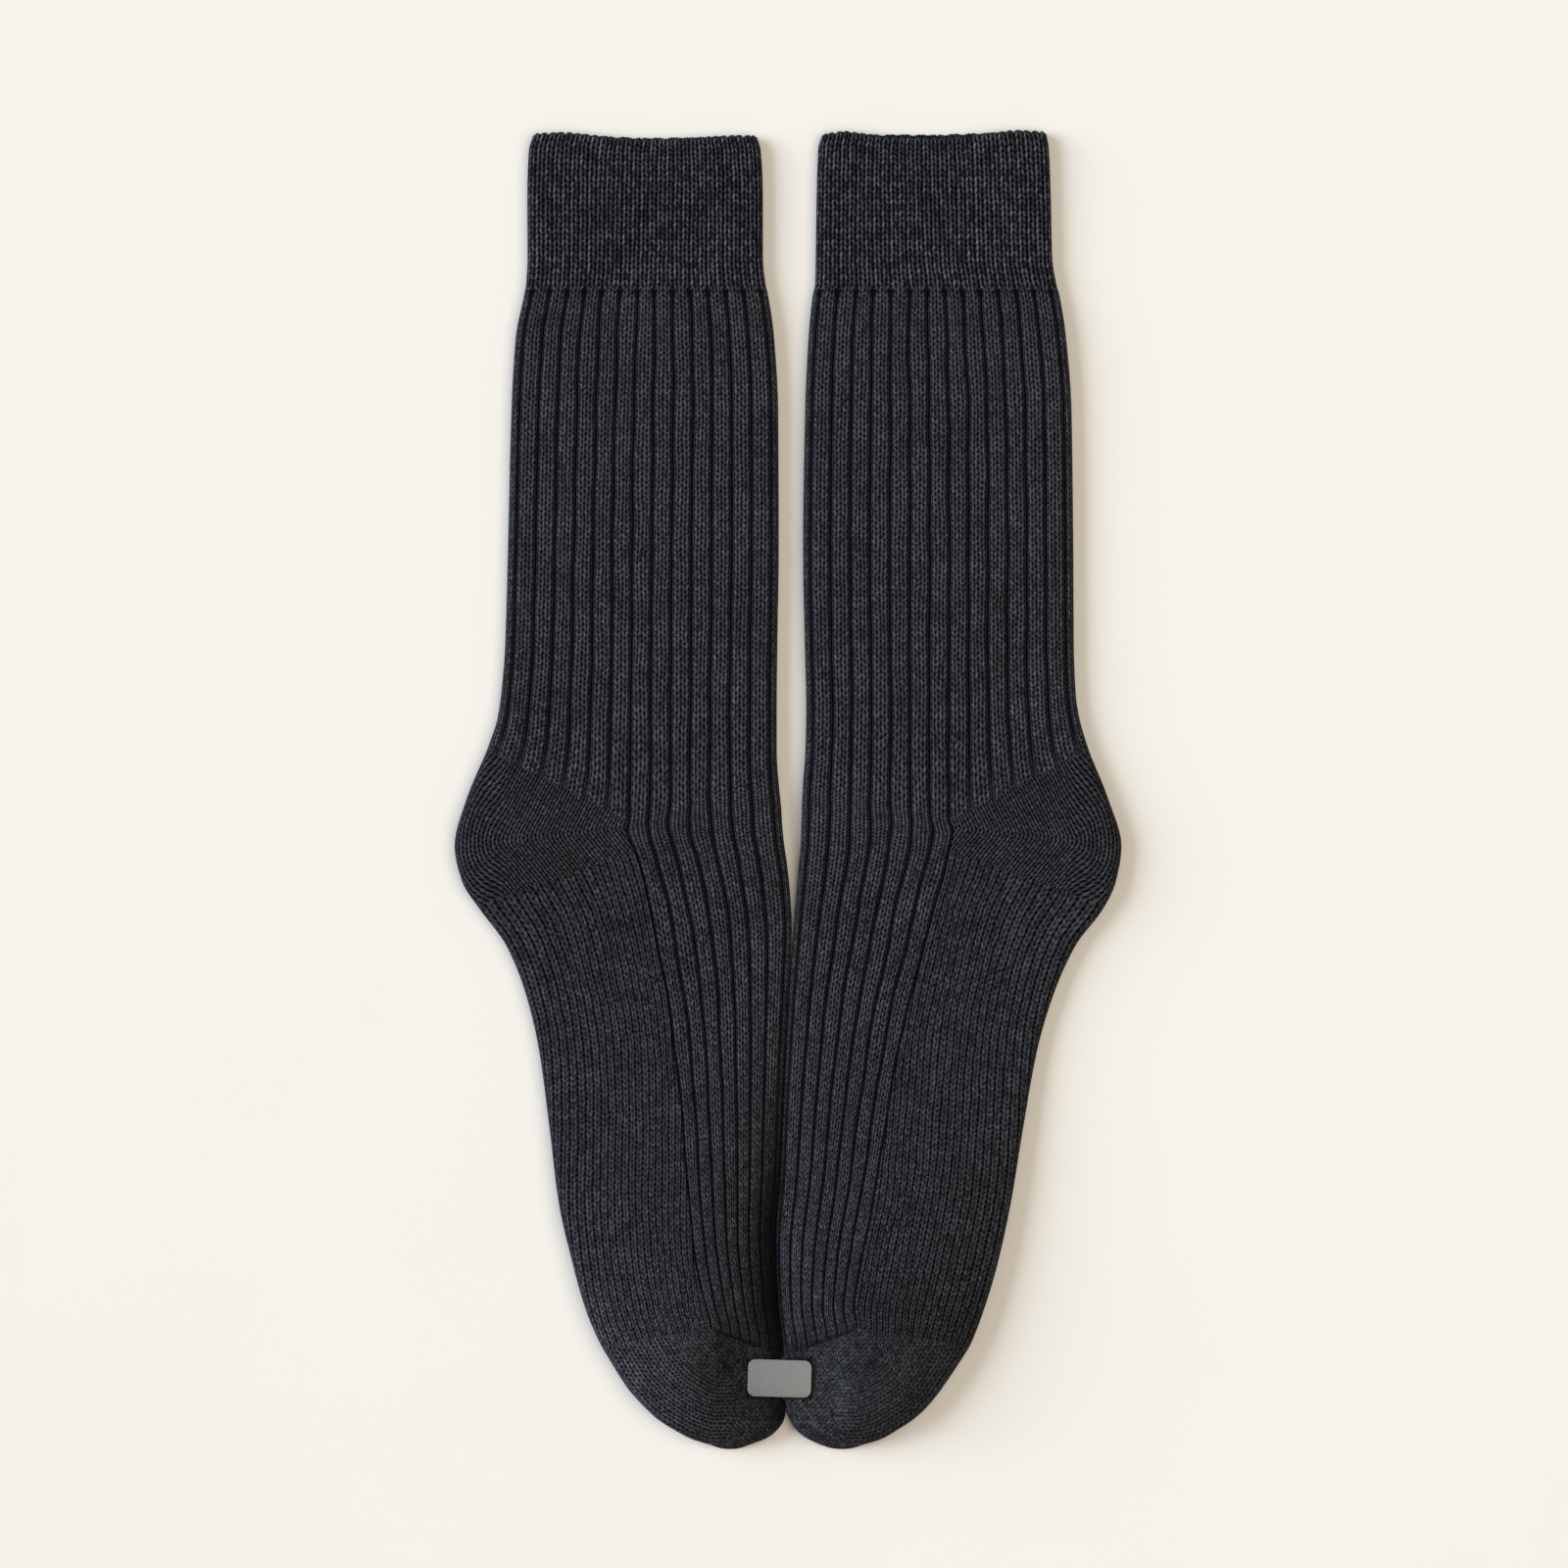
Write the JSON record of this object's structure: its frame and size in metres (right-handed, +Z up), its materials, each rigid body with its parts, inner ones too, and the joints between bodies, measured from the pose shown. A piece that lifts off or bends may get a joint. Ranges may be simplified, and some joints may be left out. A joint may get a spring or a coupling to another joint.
{
  "type": "pair of socks",
  "caption": "Pair of ribbed crew socks laid flat side by side, cuffs up and heels outward, with plain heels, soles and toes, and a small metal clip that holds the toes together.",
  "frame": {"origin": "on the ground under the middle of the pair", "axes": "+Z up from the ground, +Y along the socks towards the cuffs, +X towards the right sock's heel as seen from above with the cuffs up"},
  "size_m": [0.2312, 0.4562, 0.0072],
  "materials": {
    "left_knit": "matte ribbed knit, charcoal heather",
    "right_knit": "matte ribbed knit, charcoal heather",
    "satin_metal": "satin"
  },
  "bodies": {
    "root": {"left_sock": "left_knit", "right_sock": "right_knit", "toe_clip": "satin_metal"}
  },
  "joints": []
}
